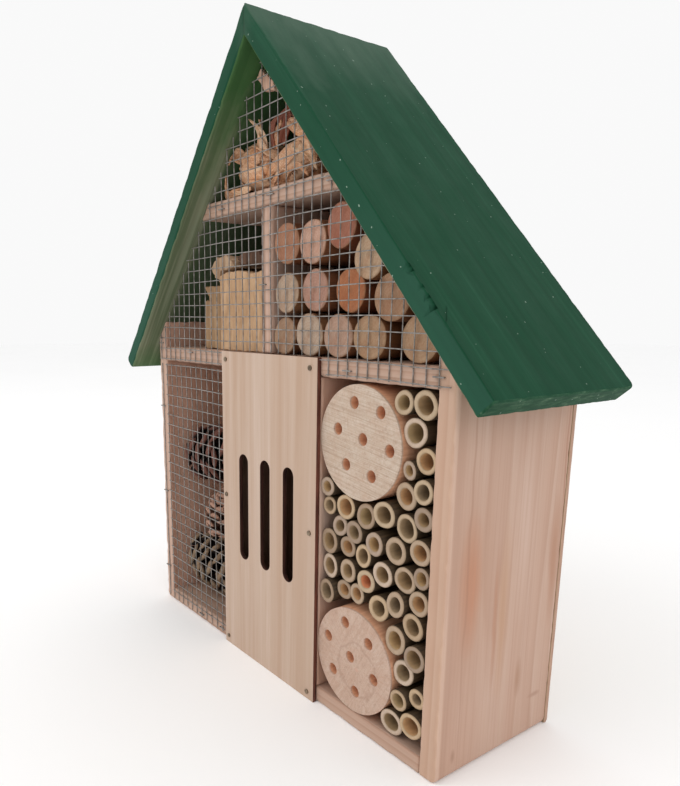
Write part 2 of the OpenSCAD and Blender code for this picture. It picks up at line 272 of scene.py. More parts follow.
def wood_layers(look, vector, light, mid, dark, seed, ring_gap=4.5, pith=(0.06, 0.05)):
    """Softwood whose grain runs along the vector's Z: growth rings cut by the board, and fibres."""
    shift = (seed * 1.37, seed * 0.71, seed * 2.3)
    wander = look.grain((9, 9, 1.1), 3, 0.5, vector, shift)
    moved = look.vector("ADD", vector, look.xyz(look.times(wander, 0.055)))
    rings = look.add("TexWave", wave_type="RINGS", rings_direction="Z", wave_profile="SAW",
                     named={"Vector": look.place(moved, (1, 1, 0.02), (*pith, 0)),
                            "Scale": math.tau / 20 / (ring_gap * MM), "Distortion": 0.7,
                            "Detail": 2.0, "Detail Scale": 1.0}).outputs["Fac"]
    fibre = look.grain((1500, 1500, 45), 3, 0.6, vector, shift)
    streak = look.grain((190, 190, 4.5), 4, 0.6, vector, shift)
    blotch = look.grain((22, 22, 7), 2, 0.5, vector, shift)
    look.colour(look.ramp(rings, (0, light), (0.62, mid), (0.9, dark), (1, light)))
    look.lay(mid, streak, (0.3, 0), (0.75, 0.75))
    look.lay(dark, fibre, (0.35, 0), (0.8, 0.35))
    look.lay(light, blotch, (0.35, 0), (0.75, 0.4))
    return rings, fibre, streak


def wood(name, grain, light, mid, dark, seed, **options):
    """Bare sanded softwood; grain names the direction it runs along."""
    look = Look(name)
    vector = look.axes(look.coords(), *{"x": (Y, Z, X), "z": (X, Y, Z)}[grain])
    rings, fibre, streak = wood_layers(look, vector, light, mid, dark, seed, **options)
    look.rough(streak, (0.2, 0.58), (0.9, 0.76))
    look.bump((rings, 0.25, 0.0002), (streak, 0.25, 0.0002), (fibre, 0.35, 0.00012))
    return look


BARE = ("#c6aa99", "#bb9986", "#a57e68")
WALL = ("#c3a695", "#bb9986", "#b18d79")
DULL = ("#bca08e", "#b2917e", "#9c7660")
# Marks on the right wall: (depth from the front, height, half width, half height) in mm, strength, colour
WALL_MARKS = [(20, 104, 16, 70, 0.45, "#ac846c"), (19, 104, 9, 42, 0.6, "#b87c5c"),
              (16, 120, 1.1, 170, 0.4, "#9c725c"), (46, 84, 7, 56, 0.55, "#b48a6a"),
              (39, 80, 2.5, 46, 0.55, "#ac785a"), (64, 40, 3.5, 14, 0.5, "#a0785e"),
              (62, 130, 9, 60, 0.4, "#d0b8aa"), (87, 104, 5, 42, 0.65, "#a87a60"),
              (80, 24, 6, 2, 0.5, "#9a7460"), (12, 12, 2, 5, 0.5, "#926c58"),
              (52, 205, 10, 50, 0.35, "#b08c7a"), (92, 130, 0.8, 190, 0.55, "#a0705a")]


def right_wall_wood():
    """Its outer face has a reddish knot shadow, tan streaks, a few thin dark grain lines and a painted
    highlight along its front edge.
    """
    look = wood("wall_wood_right", "z", *WALL, 2.2, ring_gap=7, pith=(0.1, 0.03))
    wander = look.grain((30, 30, 9), 3, 0.55)
    here = look.vector("ADD", look.coords(), look.xyz(0, look.times(look.minus(wander, 0.5), 0.012)))
    for depth, height, half_y, half_z, strength, colour in WALL_MARKS:
        spot = (0, -(FRONT / MM + depth) / half_y, -height / half_z)
        away = look.vector("LENGTH", look.place(here, (0, 1 / (half_y * MM), 1 / (half_z * MM)), spot))
        look.lay(colour, away, (0.25, strength), (1, 0))
    # Painted highlight: a pale line along the rounded front edge of the outer side, then a slightly darker
    # strip behind it
    rim = look.times(look.minus(look.part("Y"), FRONT), 1 / (10 * MM))
    look.lay("#d6b8a4", rim, (0, 0), (0.06, 0.5), (0.2, 0.4), (0.3, 0))
    look.lay("#aa8672", rim, (0.25, 0), (0.4, 0.4), (0.65, 0.35), (0.9, 0))
    look.lay("#a8806c", look.grain((0, 520, 7)), (0.48, 0), (0.75, 0.4))
    return look.shade("Y", -1, (1.0, 0.99, 0.94, 1))


# Painted shade: the sides of the bay behind the front panel are darkened, as that bay lies in shadow
BAY_SHADE = (0.36, 0.3, 0.26, 1)
frame_woods = {
    "left_wall": wood("wall_wood_left", "z", *WALL, 1, ring_gap=7).shade("X", 1, (1.15, 1.02, 0.97, 1)),
    "right_wall": right_wall_wood(),
    "floor_board": wood("floor_wood", "x", *DULL, 3, ring_gap=4),
    "lower_shelf": wood("lower_shelf_wood", "x", *DULL, 4, ring_gap=3.5),
    "upper_shelf": wood("upper_shelf_wood", "x", *DULL, 5, ring_gap=4),
    "left_divider": wood("left_divider_wood", "z", *BARE, 6).shade("X", 1, BAY_SHADE),
    "right_divider": wood("right_divider_wood", "z", *BARE, 7).shade("X", -1, BAY_SHADE),
    "upper_divider": wood("upper_divider_wood", "z", *BARE, 8)}


def plywood(name, grain, light, mid, dark, seed, edge_dark, edge_light):
    """Thin plywood: faces across Y are veneer, and its cut edges have colours of their own."""
    look = wood(name, grain, light, mid, dark, seed, ring_gap=9, pith=(0.05, 0.35))
    burnt = look.ramp(look.grain((700, 700, 60), 3, 0.55), (0.3, edge_dark), (0.7, edge_light))
    look.lay(burnt, look.math("ABSOLUTE", look.facing("Y")), (0.35, 1), (0.8, 0))
    return look


def panel_wood():
    """Veneer with a wavy upright figure and burnt edges; the edges inside the slots get painted shade on
    top.
    """
    look = plywood("panel_plywood", "z", "#c0a998", "#bba28f", "#b69b87", 11,
                   "#3c1e16", "#7c4838")
    low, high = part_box("butterfly_panel")
    edges, side = look.base, look.part("X")
    figure = look.grain((85, 1, 2.4), 5, 0.68, warp=0.5)
    look.lay("#aa8970", figure, (0.48, 0), (0.66, 0.5))
    look.lay("#cebaac", figure, (0.34, 0.5), (0.46, 0))
    rightward = look.times(look.minus(side, low.x), 1 / (high.x - low.x))
    look.lay("#b0947e", rightward, (0.6, 0), (1, 0.35))
    away = look.math("ABSOLUTE", look.minus(side, (low.x + high.x) / 2))
    # Painted shade: the burnt edges inside the slots are darkened to about a third
    in_slots = look.math("LESS_THAN", away, (high.x - low.x) / 2 - 4 * MM)
    on_edge = look.math("LESS_THAN", look.math("ABSOLUTE", look.facing("Y")), 0.5)
    look.cover(on_edge, look.mix(in_slots, edges, look.tinted(edges, (0.35, 0.35, 0.35, 1))))
    return look


panel_ply = panel_wood()
# Painted shade: the back sheet's inner face, which looks into the box, is darkened
back_ply = plywood("back_plywood", "x", "#c8ae92", "#c2a688", "#b8987a", 12,
                   "#a07c68", "#bc9a86").shade("Y", -1, (0.66, 0.62, 0.6, 1))


def roof_paint(name, side):
    """Green paint on the outside and the edges, bare wood with overspray on the underside."""
    look = Look(name, 0.14)
    fall, level = math.sin(PITCH), math.cos(PITCH)
    here = look.vector("ADD", look.coords(), tuple(-RIDGE))
    vector = look.axes(here, Y, (side * fall, 0, level), (side * level, 0, -fall))
    depth, along = look.part("Y", vector), look.part("Z", vector)
    seed = 20 + side
    _, fibre, streak = wood_layers(look, vector, "#92947c", "#80866e", "#686c56",
                                   seed, ring_gap=5)
    cloud = look.grain((60, 60, 26), 4, 0.6, vector)
    # Distance from the ridge and the eave decides how much overspray reaches the underside
    from_ridge = look.times(along, 1 / 0.1)
    from_eave = look.times(look.minus(ROOF_LEN + 0.018, along), 1 / 0.04)
    away = look.minus(1.0, look.math("MINIMUM", from_ridge, from_eave))
    look.lay("#60644c", streak, (0.4, 0), (0.62, 0.6))
    # Painted shade: the bare underside darkens behind the front of the box, where it lies inside it
    look.lay("#323e30", look.times(look.minus(look.part("Y"), FRONT), 1 / 0.02), (0, 0), (0.6, 0.75))
    spray = look.mix(look.ramp(from_eave, (0, 1), (1, 0)), "#3c6236", "#627e5c")
    look.lay(spray, look.math("ADD", look.times(away, 0.7), cloud), (0.45, 0.1), (1, 0.95))
    look.lay("#2c4c2a", streak, (0.42, 0), (0.6, 0.35))
    underside = look.base
    look.colour(look.ramp(streak, (0.25, "#063722"), (0.6, "#0e432c"), (0.9, "#22543c")))
    look.lay("#0a3c26", cloud, (0.4, 0), (0.7, 0.45))
    # Painted sheen: the paint is lighter and greyer along the ridge, except on the front edge
    fronting = look.ramp(look.times(look.facing("Y"), -1), (0.6, 0), (0.9, 1))
    ridge_sheen = look.math("ADD", look.times(along, -1 / 0.15), look.times(cloud, 0.9))
    look.lay("#4c6354", look.minus(ridge_sheen, look.times(fronting, 0.3)), (0, 0), (0.5, 0.75))
    # The front edge is a little bluer, and the rough end grain at the eave shows pale flecks
    low_down = look.ramp(look.times(along, 1 / ROOF_LEN), (0.35, 0.05), (0.75, 0.3))
    look.cover(look.times(fronting, low_down), "#3a6052")
    flecks = look.ramp(look.grain((120, 420, 420), 4, 0.7, vector), (0.42, "#14402a"),
                       (0.58, "#2a5038"), (0.74, "#5c765e"))
    look.cover(look.math("GREATER_THAN", along, ROOF_LEN - 0.9 * MM), flecks)
    speck = look.grain((420, 420, 420), 1, 0.4, vector, (seed, 0, 0))
    look.lay("#96ac9c", speck, (0.765, 0), (0.785, 0.7))
    under = look.math("LESS_THAN", depth, 0.6 * MM - ROOF_T)
    look.cover(under, underside)
    gloss = look.mix(under, look.ramp(cloud, (0.3, 0.62), (0.75, 0.76)), (0.8, 0.8, 0.8, 1))
    look.feed(look.bsdf.inputs["Roughness"], gloss)
    look.bump((streak, 0.35, 0.0003), (cloud, 0.2, 0.0004), (fibre, 0.25, 0.00012))
    return look


def metal(name, low, high, rough=0.42, metallic=0.9):
    look = Look(name, 0.5, Metallic=metallic)
    grime = look.grain((300, 300, 300), 4)
    look.colour(look.ramp(grime, (0.35, low), (0.7, high)))
    look.rough(grime, (0.3, rough + 0.14), (0.8, rough - 0.08))
    look.bump((grime, 0.2, 0.00008))
    return look


wire_metal = metal("galvanised_wire", "#746f6a", "#a5a19d", 0.5, 0.6)
nail_metal = metal("nail_steel", "#5c4e40", "#968672")
plate_metal = metal("zinc_plate", "#a8a8a4", "#cdcecc", 0.36)


# -------- building pieces

def finish_piece(name, mesh, nodes, looks, place=(0, 0, 0)):
    """Makes an object of the mesh, fixes it to the root body and hides the CAD nodes that it stands for."""
    for look in looks:
        mesh.materials.append(look.material)
    obj = bpy.data.objects.new(name, mesh)
    bpy.context.collection.objects.link(obj)
    obj.location = place
    bpy.context.view_layer.update()
    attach(obj, "root")
    if nodes:
        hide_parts(*nodes)
    return obj


def mesh_from(bm, name):
    mesh = bpy.data.meshes.new(name)
    bmesh.ops.recalc_face_normals(bm, faces=bm.faces)
    bm.to_mesh(mesh)
    bm.free()
    return mesh


def rounded_prism(points, y0, y1, edge, wear, seed, broad=None, broad_edge=3 * MM, wear_at=None,
                  cut=3.5 * MM):
    """A board of that outline between two depths.

    Its edges are rounded by edge, and up to about 1 + wear times as much where they are worn.
    Edges whose middle passes the broad test get the wider rounding broad_edge instead."""
    bm = bmesh.new()
    front = [bm.verts.new((p.x, y0, p.y)) for p in points]
    back = [bm.verts.new((p.x, y1, p.y)) for p in points]
    bm.faces.new(front)
    bm.faces.new(back[::-1])
    for i in range(len(points)):
        j = (i + 1) % len(points)
        bm.faces.new((front[i], back[i], back[j], front[j]))
    bmesh.ops.recalc_face_normals(bm, faces=bm.faces)
    planes = [(f.calc_center_median().copy(), f.normal.copy()) for f in bm.faces]
    wide = [e for e in bm.edges if broad and broad((e.verts[0].co + e.verts[1].co) / 2)]
    corners = [(e.verts[0].co.copy(), e.verts[1].co.copy()) for e in bm.edges if e not in wide]
    if wide:
        bmesh.ops.bevel(bm, geom=wide, offset=broad_edge, segments=6, profile=0.5, affect="EDGES")
    sharp = [e for e in bm.edges if e.calc_face_angle() > math.radians(40)]
    bmesh.ops.bevel(bm, geom=sharp, offset=edge, segments=3, profile=0.5, affect="EDGES")
    for face in bm.faces:
        centre = face.calc_center_median()
        face.smooth = not any(face.normal.dot(normal) > 0.9999 and abs((centre - spot).dot(normal)) < TINY
                              for spot, normal in planes)
    long_edges = {}
    for line in bm.edges:
        if line.calc_length() > 2 * cut:
            along = (line.verts[0].co - line.verts[1].co).normalized()
            if min(along) < -0.5:
                along = -along
            long_edges.setdefault(tuple(round(c, 1) + 0.0 for c in along), []).append(line)
    for lines in long_edges.values():
        cuts = int(max(line.calc_length() for line in lines) / cut)
        bmesh.ops.subdivide_edges(bm, edges=lines, cuts=cuts)
    for vert in bm.verts:
        if not any(f.smooth for f in vert.link_faces):
            continue
        nearest, gap = None, 1.6 * edge
        for start, end in corners:
            spot, share = intersect_point_line(vert.co, start, end)
            if 0 < share < 1 and (spot - vert.co).length < gap:
                ends = min(share, 1 - share) * (end - start).length
                nearest, gap, taper = spot, (spot - vert.co).length, min(1.0, ends / (6 * MM))
        if nearest is not None:
            dent = noise.noise(nearest * 150 + Vector((seed * 7.1, 0, 0)))
            fine = noise.noise(nearest * 480 + Vector((0, seed * 3.3, 0)))
            amount = wear * (wear_at(nearest) if wear_at else 1.0)
            grown = 1 + amount * taper * max(0.0, dent + 0.6 * fine + 0.25)
            vert.co = nearest + (vert.co - nearest) * grown
    return bm


def board(name, node, look, slot, seed, edge, wear=0.9, **options):
    low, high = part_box(node)
    bm = rounded_prism(front_loops(node)[0], low.y, high.y, edge, wear, seed, **options)
    return finish_piece(name, mesh_from(bm, name), [node], [look])


def outer_foot(spot):
    """The edge where a wall's outer side meets its underside."""
    return abs(spot.x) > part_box("right_wall")[1].x - 0.1 * MM and spot.z < 0.1 * MM


def outer_wear(spot):
    """The box's outer edges are rubbed rounder than the ones inside it."""
    return 1.3 if abs(spot.x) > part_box("right_wall")[1].x - 0.1 * MM and spot.y < 0 else 0.7


def rear_foot(spot):
    low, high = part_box("back_panel")
    return spot.z < low.z + 0.1 * MM and spot.y > high.y - 0.1 * MM


def left_eave_corner(spot):
    return abs(spot.y - (REAR + ROOF_FRONT) / 2) < MM and spot.x < 12 * MM - EAVE.x


def right_rear_corner(spot):
    return spot.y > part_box("right_roof_board")[1].y - 0.1 * MM and spot.x > EAVE.x - 12 * MM


def chipped_front(spot):
    """The right roof board's upper front edge is chipped over a stretch below its middle."""
    share = (RIDGE.z - spot.z) / (RIDGE.z - EAVE.z)
    sunk = (spot.x - RIDGE.x) * math.sin(PITCH) + (spot.z - RIDGE.z) * math.cos(PITCH)
    if spot.y > ROOF_FRONT + MM or sunk < -MM or not 0.72 < share < 0.82:
        return 1.0
    return 9.0 + 14 * noise.noise(spot * 700)


def ragged_underside(spot):
    """The lower shelf's front edge is torn along its underside."""
    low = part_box("lower_shelf")[0]
    return 3.0 if spot.z < low.z + MM and spot.y < low.y + MM else 1.0


def build_boards():
    for i, (node, look) in enumerate(frame_woods.items()):
        wear_at = ragged_underside if node == "lower_shelf" else outer_wear if "wall" in node else None
        board(node + "_board" if "board" not in node else "floor_plank", node, look, "frame_wood", i + 1,
              edge=1.3 * MM, broad=outer_foot, broad_edge=4 * MM, wear_at=wear_at)
    board("roof_plank_left", "left_roof_board", roof_paint("roof_green_left", -1), "roof_paint", 29,
          edge=1.4 * MM, wear=0.8, broad=left_eave_corner, broad_edge=3.5 * MM)
    board("roof_plank_right", "right_roof_board", roof_paint("roof_green_right", 1), "roof_paint", 31,
          edge=0.9 * MM, wear=0.8, wear_at=chipped_front, cut=1.2 * MM,
          broad=right_rear_corner, broad_edge=3.5 * MM)
    low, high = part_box("back_panel")
    board("back_sheet", "back_panel", back_ply, "plywood", 40, edge=0.5 * MM, wear=0.6,
          broad=rear_foot, broad_edge=0.75 * (high.y - low.y))


build_boards()


# -------- CAD nodes that stay in view

def dress(node, look, edge=None):
    """Gives a CAD node a better material, and rounds its edges a little."""
    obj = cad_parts[node]
    for slot in obj.material_slots:
        slot.material = look.material
    if edge:
        obj.modifiers.new("Weld", "WELD").merge_threshold = TINY
        bevel = obj.modifiers.new("Bevel", "BEVEL")
        bevel.width, bevel.segments = edge, 2
        bevel.limit_method, bevel.angle_limit = "ANGLE", math.radians(40)
        bevel.harden_normals = False


dress("mesh_staples", wire_metal, 0.15 * MM)
dress("panel_nails", nail_metal, 0.3 * MM)
dress("back_nails", nail_metal, 0.3 * MM)
dress("roof_brads", nail_metal)
dress("ridge_brads", nail_metal)
dress("hanger_plate", plate_metal, 0.2 * MM)
dress("hanger_screws", nail_metal, 0.4 * MM)


# -------- turned bars: canes and logs

def turned(profile, segments, shape):
    """Turns a profile about Y. Each profile row is (radius, y, ring value, material of the band after it).

    shape(angle, y) scales the radius; the ring value goes into an attribute that the materials read."""
    bm = bmesh.new()
    ring_layer = bm.verts.layers.float.new("ring")
    loops = []
    for radius, y, ring, _ in profile:
        if radius == 0:
            verts = [bm.verts.new((0, y, 0))]
        else:
            verts = []
            for k in range(segments):
                angle = math.tau * k / segments
                r = radius * shape(angle, y)
                verts.append(bm.verts.new((r * math.cos(angle), y, r * math.sin(angle))))
        for vert in verts:
            vert[ring_layer] = ring
        loops.append(verts)
    for row, (one, two) in enumerate(zip(loops, loops[1:])):
        for k in range(segments):
            j = (k + 1) % segments
            corners = [one[k % len(one)], one[j % len(one)], two[j % len(two)], two[k % len(two)]]
            face = bm.faces.new(list(dict.fromkeys(corners)))
            face.smooth = True
            face.material_index = profile[row][3]
    return bm


def add_tone(mesh, colour, name="tone"):
    """A colour of its own for a piece, which its material reads."""
    layer = mesh.color_attributes.new(name, "FLOAT_COLOR", "POINT")
    for item in layer.data:
        item.color = linear(colour)


def uneven_round(rng, oval, lumps, fine=0.0):
    """A shape function for a natural stem: a little oval, with a few broad lumps and finer nicks."""
    turn, amount = rng.uniform(0, math.tau), rng.uniform(0.3, 1.0) * oval
    seed = Vector((rng.uniform(0, 50), rng.uniform(0, 50), 0))

    def shape(angle, y):
        point = Vector((math.cos(angle), math.sin(angle), y * 14)) * 1.1
        nick = fine * noise.noise(seed + point * 5)
        return 1 + amount * math.cos(2 * (angle - turn)) + lumps * noise.noise(seed + point) + nick
    return shape


def toned_look(name, specular=0.3):
    look = Look(name, specular)
    look.colour(look.attribute("tone", "Color"))
    return look, look.attribute("ring")


def cane_cut_look():
    """The sawn end of a cane: pale, with dark fibre dots that crowd towards the skin."""
    look, ring = toned_look("cane_cut")
    dots = look.add("TexVoronoi", named={"Vector": look.coords(), "Scale": 1500.0}).outputs["Distance"]
    grain = look.grain(900)
    look.lay("#8c745a", dots, (0.1, 0.35), (0.4, 0))
    look.lay("#968066", look.grain(160), (0.45, 0), (0.8, 0.45))
    look.lay("#8e7658", ring, (0, 0.5), (0.25, 0))
    look.lay("#7e6a50", ring, (0.84, 0), (1, 0.6))
    look.rough(grain, (0.3, 0.6), (0.8, 0.82))
    look.bump((grain, 0.4, 0.00015), (dots, 0.3, 0.0001))
    return look


def cane_side_look(name, light, dark, rough, tinted):
    """A cane's skin or the inside of its bore, streaked along Y and tinted by the cane's own tone."""
    look = Look(name)
    streak = look.grain((500, 12, 500), 4)
    patch = look.grain((60, 20, 60))
    look.colour(look.ramp(streak, (0.3, dark), (0.7, light)))
    look.lay(dark, patch, (0.4, 0), (0.8, 0.6))
    look.cover(tinted, look.attribute("lining", "Color"))
    look.rough(patch, (0.3, rough), (0.8, rough + 0.2))
    look.bump((streak, 0.3, 0.0002))
    return look


def slant_end(bm, radius, depth, amount, turn):
    """Leans a bar's sawn front end, down to a depth, towards a direction."""
    for vert in bm.verts:
        if vert.co.y < depth:
            vert.co.y += amount * (vert.co.x * math.cos(turn) + vert.co.z * math.sin(turn)) / radius


def front_centre(low, high):
    return Vector(((low.x + high.x) / 2, low.y, (low.z + high.z) / 2))


CANE_SEGMENTS = 36
# The skin keeps its streaks, but its colours are darkened well below a cane's own to paint the shade in the
# gaps between the packed canes
cane_looks = [cane_cut_look(),
                cane_side_look("cane_skin", "#503e2a", "#2e2216", 0.55, 0.0),
                cane_side_look("cane_bore", "#ba9c74", "#967a56", 0.8, 0.6)]


def cane(low, high, rng):
    """One cut bamboo cane: crisp sawn end, thick wall, bore closed by a node at depth."""
    radius = (high.x - low.x) / 2
    share = 0.61 + 0.03 * (radius - 6.6 * MM) / MM
    bore = radius * min(0.7, max(0.53, share + rng.uniform(-0.05, 0.05)))
    length = high.y - low.y
    lean = rng.uniform(0.0, 0.6) * MM
    knot = length * rng.uniform(0.35, 0.8)
    CUT, SKIN, BORE = 0, 1, 2
    profile = [(0, 0.066, 0, BORE), (bore * 0.7, 0.067, 0, BORE), (bore * 0.96, 0.062, 0, BORE),
               (bore, 0.03, 0, BORE), (bore, 0.006, 0, BORE), (bore, 0.5 * MM, 0, CUT),
               (bore + 0.35 * MM, 0.05 * MM, 0.1, CUT), ((bore + radius) / 2, 0, 0.5, CUT),
               (radius - 0.45 * MM, 0.05 * MM, 0.9, CUT), (radius, 0.5 * MM, 1, SKIN),
               (radius, 0.01, 1, SKIN), (radius, knot - 3 * MM, 1, SKIN), (radius * 1.03, knot, 1, SKIN),
               (radius, knot + 3 * MM, 1, SKIN), (radius, length - 0.5 * MM, 1, SKIN),
               (radius - 0.5 * MM, length, 1, CUT), (0, length, 0, CUT)]
    bm = turned(profile, CANE_SEGMENTS, uneven_round(rng, 0.05, 0.045, 0.012))
    slant_end(bm, radius, 1.5 * MM, lean, rng.uniform(0, math.tau))
    return bm


# Colours of the sawn ends, and of the pith that lines the bores
CANE_TONES = ["#b49e83", "#ab947d", "#c0ab98", "#9a836e",
              "#b1987c", "#968170", "#baa081", "#a79281"]
LINING_TONES = ["#a9936e", "#8d7b63", "#bc9c71", "#867157",
                "#9e8464", "#7e705f", "#c09368"]
RED_PLUG = "#de845c"


def build_canes():
    rng = random.Random(7)
    for row in range(1, 13):
        for number, (low, high) in enumerate(solids("tube_row_%d" % row), 1):
            name = "cane_%d_%d" % (row, number)
            mesh = mesh_from(cane(low, high, rng), name)
            add_tone(mesh, rng.choice(CANE_TONES))
            add_tone(mesh, RED_PLUG if (row, number) == (8, 3) else rng.choice(LINING_TONES), "lining")
            nodes = ["tube_row_%d" % row] if number == 1 else []
            finish_piece(name, mesh, nodes, cane_looks, front_centre(low, high))


def end_grain(look, centre, ring_gap, strength, saw_turn=0.9, saw_strength=0.3, shift=0):
    """Growth rings round a centre line along Y, with rays and straight saw marks at an angle to X."""
    tone = look.base
    flat = look.vector("MULTIPLY", look.place(look.coords(), (1, 1, 1), centre), (1, 0, 1))
    wobble = look.grain((90, 90, 90), 3, 0.55, flat, (shift, 0, 0))
    radius = look.math("ADD", look.vector("LENGTH", flat), look.times(wobble, 1.6 * ring_gap))
    wave = look.math("FRACT", look.math("DIVIDE", radius, ring_gap))
    angle = look.math("ARCTAN2", look.part("Z", flat), look.part("X", flat))
    rays = look.grain(1.0, vector=look.xyz(look.times(angle, 14.0), look.times(radius, 120.0), shift))
    across = (-math.sin(saw_turn), 0, math.cos(saw_turn))
    along = (math.cos(saw_turn), 0, math.sin(saw_turn))
    saw = look.grain((1100, 1, 22), 3, 0.65, look.axes(flat, across, Y, along))
    pores = look.grain(1300, 2, 0.6, flat)
    warm = look.tinted(tone, "#d6b096")
    look.lay(warm, wave, (0.45, 0), (0.93, strength), (1, 0.1))
    look.lay(warm, rays, (0.42, 0), (0.75, 0.3))
    look.lay(look.tinted(tone, "#cec4ba"), saw, (0.42, 0), (0.66, saw_strength))
    look.lay(warm, pores, (0.5, 0), (0.85, 0.5))
    look.lay(warm, wobble, (0.35, 0), (0.85, 0.35))
    look.bump((wave, 0.1, 0.00015), (saw, saw_strength, 0.0003), (pores, 0.25, 0.0001))
    look.rough(saw, (0.3, 0.6), (0.8, 0.8))
    return radius


def log_looks():
    """The sawn end and the bark, both in the log's own tone."""
    end, ring = toned_look("log_end", 0.25)
    tone = end.base
    radius = end_grain(end, (0, 0, 0), 1.7 * MM, 0.22)
    end.lay(end.tinted(tone, "#d6b4a0"), end.grain(170, 4, 0.65), (0.45, 0), (0.72, 0.5))
    end.lay("#785438", radius, (0, 0.8), (0.0016, 0))
    end.lay("#846446", ring, (0.9, 0), (1, 0.6))
    bark = toned_look("log_bark")[0]
    long_noise, fine = bark.grain((260, 30, 260), 4), bark.grain(700)
    bark.colour(bark.tinted(bark.base, "#b48a64"))
    bark.lay("#583622", long_noise, (0.35, 0.1), (0.7, 0.9))
    bark.rough(fine, (0.3, 0.65), (0.8, 0.9))
    bark.bump((long_noise, 0.6, 0.0008), (fine, 0.3, 0.0002))
    return [end, bark]


LOG_TONES = ["#a2866e", "#b4a290", "#b29684", "#a88c70", "#aa8e72",
             "#b4a08c", "#b49080", "#ac724e", "#a4846a",
             "#aa7e64", "#c2a08e", "#a6725e", "#b8a086"]


def build_logs():
    looks = log_looks()
    rng = random.Random(21)
    for i, tone in enumerate(LOG_TONES, 1):
        node = "log_%d" % i
        low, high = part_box(node)
        radius, length = (high.x - low.x) / 2, high.y - low.y
        END, BARK = 0, 1
        profile = [(0, 0, 0, END), (radius * 0.3, 0, 0.3, END), (radius * 0.62, 0.05 * MM, 0.62, END),
                   (radius * 0.86, 0.05 * MM, 0.86, END), (radius - 0.7 * MM, 0.1 * MM, 0.95, END),
                   (radius - 0.15 * MM, 0.5 * MM, 1, BARK), (radius, 1.2 * MM, 1, BARK)]
        profile += [(radius, length * k / 8, 1, BARK) for k in range(1, 8)]
        profile += [(radius, length - MM, 1, BARK), (radius - MM, length, 1, END), (0, length, 0, END)]
        bm = turned(profile, 44, uneven_round(rng, 0.02, 0.035))
        turn = rng.uniform(0, math.tau)
        slant_end(bm, radius, 2 * MM, rng.uniform(0, 0.7) * MM, turn)
        mesh = mesh_from(bm, "round_log_%d" % i)
        add_tone(mesh, tone)
        finish_piece("round_log_%d" % i, mesh, [node], looks, front_centre(low, high))


def drilled_look(name, node, tone, ring_gap, strength, pith, saw_turn, saw_strength, marks=()):
    """End grain for a large CAD log, whose sides and holes share the material.

    marks are colours by distance from the pith, which is counted in shares of 50 mm."""
    low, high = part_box(node)
    look = Look(name, 0.25)
    look.colour(tone)
    centre = tuple(-front_centre(low, high) - Vector((pith[0], 0, pith[1])))
    radius = end_grain(look, centre, ring_gap, strength, math.radians(saw_turn), saw_strength,
                       3.0 * node.count("u"))
    look.lay("#967a68", look.grain(520, 3, 0.7), (0.52, 0), (0.7, 0.4))
    out = look.times(radius, 1 / (50 * MM))
    for colour, *stops in marks:
        look.lay(colour, out, *stops)
    fresh = look.ramp(look.grain((420, 24, 420), 4), (0.3, "#c28664"), (0.7, "#dea884"))
    look.lay(fresh, look.times(look.minus(look.part("Y"), low.y), 1 / 0.02), (0.02, 0), (0.08, 0.95))
    return look


build_canes()
build_logs()
dress("upper_drilled_log", drilled_look("upper_drilled_grain", "upper_drilled_log", "#c8b8a8", 2.6 * MM,
                                        0.08, (0.055, 0.02), -8, 0.65), 0.4 * MM)
# The lower one has a darker growth ring and a pink pith below its middle hole
dress("lower_drilled_log", drilled_look("lower_drilled_grain", "lower_drilled_log", "#c4ac9c", 6 * MM,
                                        0.06, (0.004, -0.0045), 60, 0.25,
                                        [("#9c7c6a", (0.375, 0), (0.405, 0.45), (0.43, 0)),
                                         ("#c89682", (0, 0.8), (0.085, 0.7), (0.125, 0))]), 0.4 * MM)


# -------- welded wire mesh

def add_line(curve, points, closed=False):
    spline = curve.splines.new("POLY")
    spline.points.add(len(points) - 1)
    spline.use_cyclic_u = closed
    for item, point in zip(spline.points, points):
        item.co = (*point, 1)


